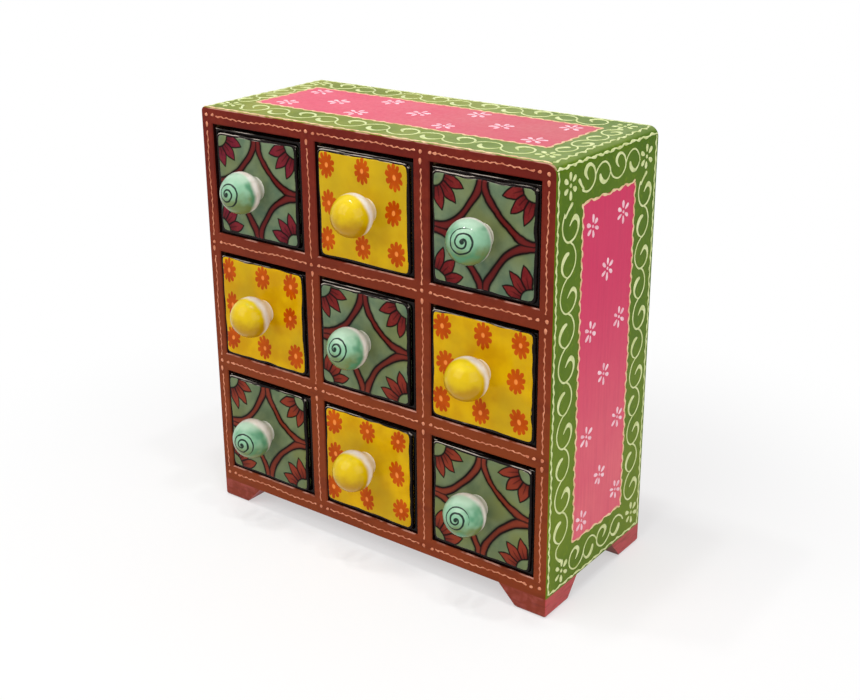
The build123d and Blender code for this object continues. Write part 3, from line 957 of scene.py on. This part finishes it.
for node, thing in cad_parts.items():
    thing.data.materials.clear()
    thing.data.materials.append(next(finish for word, finish in finishes.items() if word in node))

paint_side("right_side", 11, onto_right, False)
paint_side("left_side", 23, onto_left, True)
paint_top(37)
paint_front(53)
for row in (1, 2, 3):
    for column in (1, 2, 3):
        drawer, seed = f"{row}{column}", 10 * row + column
        slot = "yellow_glaze" if (row + column) % 2 else "celadon_glaze"
        outline = make_tile(drawer, tiles[slot], 100 + seed)
        make_edging(drawer, outline, 300 + seed)
        make_knob(drawer, knobs[slot], slot, *spirals.get(drawer, no_spiral), 200 + seed)


# Studio

def seen_directly(tree):
    """1 for rays that show the background: the camera's, and those off gloss or through glass."""
    path = tree.nodes.new("ShaderNodeLightPath")
    share = path.outputs["Is Camera Ray"]
    for ray in ("Is Glossy Ray", "Is Transmission Ray"):
        joined = tree.nodes.new("ShaderNodeMath")
        joined.operation = "MAXIMUM"
        tree.links.new(share, joined.inputs[0])
        tree.links.new(path.outputs[ray], joined.inputs[1])
        share = joined.outputs[0]
    return share


def make_floor():
    """A broad round floor: rings of points at even angles. It takes the chest's shadow. Half
    of its colour is the white of the room, and all of it past 380 mm."""
    around = 64
    angle = np.linspace(0, 2 * np.pi, around, endpoint=False)
    rings = [np.column_stack([radius * rays(angle), np.zeros(around)]) for radius in (0.2, 1.0, 4.0)]
    rows = [ring_faces(3, around)[:, ::-1], fan_faces(np.arange(around), 3 * around)]
    mesh = bpy.data.meshes.new("floor")
    points = np.vstack([*rings, [[0, 0, 0]]])
    mesh.from_pydata(points.tolist(), [], rows[0].tolist() + rows[1].tolist())
    finish = Finish("pale_floor", Roughness=0.9, Specular_IOR_Level=0.0, Base_Color=(0.93, 0.93, 0.93, 1))
    x, y, _ = finish.place()
    away = ((x * x + y * y).root().rising(130, 380) * 0.5 + 0.5) * Number(finish, seen_directly(finish.tree))
    white, mixer = finish.node("Emission"), finish.node("MixShader")
    out = next(node for node in finish.tree.nodes if node.type == "OUTPUT_MATERIAL")
    for place, value in zip(mixer.inputs, (away, finish.shader.outputs[0], white.outputs[0])):
        finish.feed(place, value)
    finish.feed(out.inputs["Surface"], mixer.outputs[0])
    mesh.materials.append(finish.material)
    floor = bpy.data.objects.new("floor", mesh)
    bpy.context.scene.collection.objects.link(floor)


def soft_light(name, place, target, width, height, power):
    """A rectangular lamp turned to face its target."""
    lamp = bpy.data.lights.new(name, "AREA")
    lamp.shape, lamp.size, lamp.size_y, lamp.energy = "RECTANGLE", width, height, power
    thing = bpy.data.objects.new(name, lamp)
    thing.location = place
    thing.rotation_euler = (Vector(target) - Vector(place)).to_track_quat("-Z", "Y").to_euler()
    bpy.context.scene.collection.objects.link(thing)


def light_room(fill_strength):
    """White for the camera, mirrors and glass; a plain fill light for everything else."""
    world = bpy.data.worlds.new("studio")
    bpy.context.scene.world = world
    world.use_nodes = True
    tree = world.node_tree
    tree.nodes.clear()
    kinds = ("Background", "Background", "MixShader", "OutputWorld")
    seen, fill, mixer, out = (tree.nodes.new("ShaderNode" + kind) for kind in kinds)
    for background, strength in ((seen, 1.0), (fill, fill_strength)):
        background.inputs["Color"].default_value = (1, 1, 1, 1)
        background.inputs["Strength"].default_value = strength
    tree.links.new(seen_directly(tree), mixer.inputs[0])
    tree.links.new(fill.outputs[0], mixer.inputs[1])
    tree.links.new(seen.outputs[0], mixer.inputs[2])
    tree.links.new(mixer.outputs[0], out.inputs[0])


def set_camera():
    """The photograph's view: azimuth, height angle and roll in degrees, distance from its target."""
    azimuth, height_angle, roll = map(math.radians, (37.02, 19.87, -0.43))
    target, distance = Vector((0.04239, case_front * MM, 0.15949)), 0.66463
    focal_pixels, shift_pixels, photo_width = 1316.9, -50, 860
    level = math.cos(height_angle)
    back = Vector((math.sin(azimuth) * level, -math.cos(azimuth) * level, math.sin(height_angle)))
    right = Vector((0, 0, 1)).cross(back).normalized()
    up = back.cross(right)
    cosine, sine = math.cos(roll), math.sin(roll)
    right, up = right * cosine + up * sine, up * cosine - right * sine
    turn = Matrix((right, up, back)).transposed().to_4x4()
    lens = bpy.data.cameras.new("camera")
    lens.sensor_width = 36.0
    lens.lens = lens.sensor_width * focal_pixels / photo_width
    lens.shift_y = shift_pixels / photo_width
    lens.clip_start = 0.01
    camera = bpy.data.objects.new("camera", lens)
    camera.matrix_world = Matrix.Translation(target + back * distance) @ turn
    bpy.context.scene.collection.objects.link(camera)
    bpy.context.scene.camera = camera


make_floor()
light_room(0.36)
middle = (0.0, 0.0, 0.12)
soft_light("key", (-0.5, -1.4, 1.3), middle, 1.5, 1.5, 15)
soft_light("right_fill", (1.6, -0.5, 0.9), middle, 1.5, 1.5, 11)
for number, across in enumerate((-0.35, -0.1, 0.15, 0.4)):
    soft_light(f"ceiling_{number}", (across, -0.2 + 0.08 * (number % 2), 1.5), middle, 0.09, 0.05, 2.2)
set_camera()
bpy.context.scene.view_settings.view_transform = "Standard"
